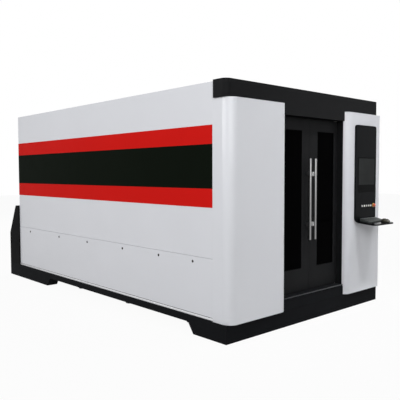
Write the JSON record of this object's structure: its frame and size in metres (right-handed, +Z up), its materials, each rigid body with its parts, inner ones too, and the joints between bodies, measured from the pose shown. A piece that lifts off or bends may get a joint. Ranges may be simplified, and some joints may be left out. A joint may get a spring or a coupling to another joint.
{
  "type": "fiber laser cutting machine",
  "caption": "Enclosed flat-bed fiber laser cutting machine: striped cabin on a dark plinth, double front doors, operator console, roll-out slatted pallet and a rear lift door.",
  "frame": {"origin": "centre of the footprint, on the floor", "axes": "+Z up, +X to the right across the door end, +Y from the door end to the pallet end"},
  "size_m": [2.49, 4.82, 2.3],
  "materials": {
    "white_paint": "satin powder coat",
    "red_film": "satin film",
    "black_film": "satin film",
    "black_paint": "satin powder coat",
    "frame_paint": "matt paint",
    "bed_paint": "textured paint",
    "dark_glass": "dark laser safety glass",
    "steel": "brushed",
    "ground_steel": "ground",
    "mild_steel": "mill finish",
    "galvanised": "galvanised",
    "dark_screw": "blackened",
    "aluminium": "anodised",
    "cabinet_paint": "fine textured powder coat",
    "screen_glass": "gloss",
    "keyboard_plastic": "fine textured",
    "black_plastic": "semi-gloss",
    "button_white": "gloss",
    "button_red": "gloss",
    "copper_alloy": "turned",
    "feet_iron": "blackened"
  },
  "bodies": {
    "machine": {"front_plinth": "black_paint", "base_frame": "black_paint", "door_sill": "black_paint", "dock_cheeks": "black_paint", "cabin_frame": "frame_paint", "left_wall": "white_paint", "right_wall": "white_paint", "lower_covers": "white_paint", "cover_screws": "dark_screw", "red_bands": "red_film", "black_bands": "black_film", "roof_panels": "white_paint", "rear_wall": "white_paint", "exhaust_collar": "galvanised", "lift_door_guides": "galvanised", "lift_cylinders": "aluminium", "front_cap": "black_paint", "front_left_column": "white_paint", "console_pillar": "white_paint", "door_frame": "black_paint", "door_pivots": "ground_steel", "operator_console": "black_paint", "display_screen": "screen_glass", "keyboard": "keyboard_plastic", "mouse": "black_plastic", "button_collars": "aluminium", "electrical_cabinet": "cabinet_paint", "laser_source": "cabinet_paint", "machine_bed": "bed_paint", "bed_feet": "feet_iron", "scrap_trays": "galvanised", "long_axis_rails": "ground_steel", "drive_racks": "ground_steel"},
    "left_door": {"left_door_leaf": "black_paint", "left_door_window": "dark_glass", "left_door_handle": "steel"},
    "right_door": {"right_door_leaf": "black_paint", "right_door_window": "dark_glass", "right_door_handle": "steel"},
    "lift_door": {"rear_lift_door": "black_paint", "lift_rods": "ground_steel"},
    "pallet": {"pallet_frame": "bed_paint", "pallet_slats": "mild_steel"},
    "front_wheels": {"front_wheelset": "ground_steel"},
    "rear_wheels": {"rear_wheelset": "ground_steel"},
    "gantry": {"gantry_beam": "aluminium", "gantry_motors": "black_plastic", "cross_rails": "ground_steel"},
    "left_pinion": {"left_drive_pinion": "ground_steel"},
    "right_pinion": {"right_drive_pinion": "ground_steel"},
    "carriage": {"head_carriage": "aluminium"},
    "head": {"head_slide": "aluminium", "cutting_head": "aluminium", "nozzle": "copper_alloy"},
    "power_switch": {"power_button": "button_white"},
    "start_switch": {"start_button": "button_white"},
    "pause_switch": {"pause_button": "button_white"},
    "reset_switch": {"reset_button": "button_white"},
    "light_switch": {"light_button": "button_white"},
    "emergency_stop": {"estop_knob": "button_red"}
  },
  "joints": [
    {"name": "left_door_swing", "type": "hinge", "parent": "machine", "child": "left_door", "pos_m": [-0.428, -2.022, 1.16], "axis": [0, 0, -1], "range_deg": [0, 90]},
    {"name": "right_door_swing", "type": "hinge", "parent": "machine", "child": "right_door", "pos_m": [0.528, -2.022, 1.16], "axis": [0, 0, 1], "range_deg": [0, 90]},
    {"name": "lift_door_travel", "type": "slide", "parent": "machine", "child": "lift_door", "axis": [0, 0, 1], "range_m": [-0.36, 0]},
    {"name": "pallet_travel", "type": "slide", "parent": "machine", "child": "pallet", "axis": [0, 1, 0], "range_m": [0, 0.85]},
    {"name": "front_wheel_roll", "type": "hinge", "parent": "pallet", "child": "front_wheels", "pos_m": [0, -0.825, 0.75], "axis": [-1, 0, 0], "range_deg": [0, 1400]},
    {"name": "rear_wheel_roll", "type": "hinge", "parent": "pallet", "child": "rear_wheels", "pos_m": [0, 1.095, 0.75], "axis": [-1, 0, 0], "range_deg": [0, 1400]},
    {"name": "gantry_travel", "type": "slide", "parent": "machine", "child": "gantry", "axis": [0, 1, 0], "range_m": [0, 2.96]},
    {"name": "left_pinion_turn", "type": "hinge", "parent": "gantry", "child": "left_pinion", "pos_m": [-1.0443, -1.051, 0.915], "axis": [0, 0, -1], "range_deg": [0, 7070]},
    {"name": "right_pinion_turn", "type": "hinge", "parent": "gantry", "child": "right_pinion", "pos_m": [1.0443, -1.051, 0.915], "axis": [0, 0, 1], "range_deg": [0, 7070]},
    {"name": "carriage_travel", "type": "slide", "parent": "gantry", "child": "carriage", "axis": [1, 0, 0], "range_m": [-0.15, 1.35]},
    {"name": "head_lift", "type": "slide", "parent": "carriage", "child": "head", "axis": [0, 0, 1], "range_m": [-0.1, 0]},
    {"name": "power_press", "type": "slide", "parent": "machine", "child": "power_switch", "axis": [0, 1, 0], "range_m": [0, 0.0035], "stiffness_N_per_m": 1000},
    {"name": "start_press", "type": "slide", "parent": "machine", "child": "start_switch", "axis": [0, 1, 0], "range_m": [0, 0.0035], "stiffness_N_per_m": 1000},
    {"name": "pause_press", "type": "slide", "parent": "machine", "child": "pause_switch", "axis": [0, 1, 0], "range_m": [0, 0.0035], "stiffness_N_per_m": 1000},
    {"name": "reset_press", "type": "slide", "parent": "machine", "child": "reset_switch", "axis": [0, 1, 0], "range_m": [0, 0.0035], "stiffness_N_per_m": 1000},
    {"name": "light_press", "type": "slide", "parent": "machine", "child": "light_switch", "axis": [0, 1, 0], "range_m": [0, 0.0035], "stiffness_N_per_m": 1000},
    {"name": "estop_press", "type": "slide", "parent": "machine", "child": "emergency_stop", "axis": [0, 1, 0], "range_m": [0, 0.0045]}
  ],
  "couplings": [
    {"joint": "front_wheel_roll", "follows": "pallet_travel", "rad_per_m": 28.571},
    {"joint": "rear_wheel_roll", "follows": "pallet_travel", "rad_per_m": 28.571},
    {"joint": "left_pinion_turn", "follows": "gantry_travel", "rad_per_m": 41.667},
    {"joint": "right_pinion_turn", "follows": "gantry_travel", "rad_per_m": 41.667}
  ]
}
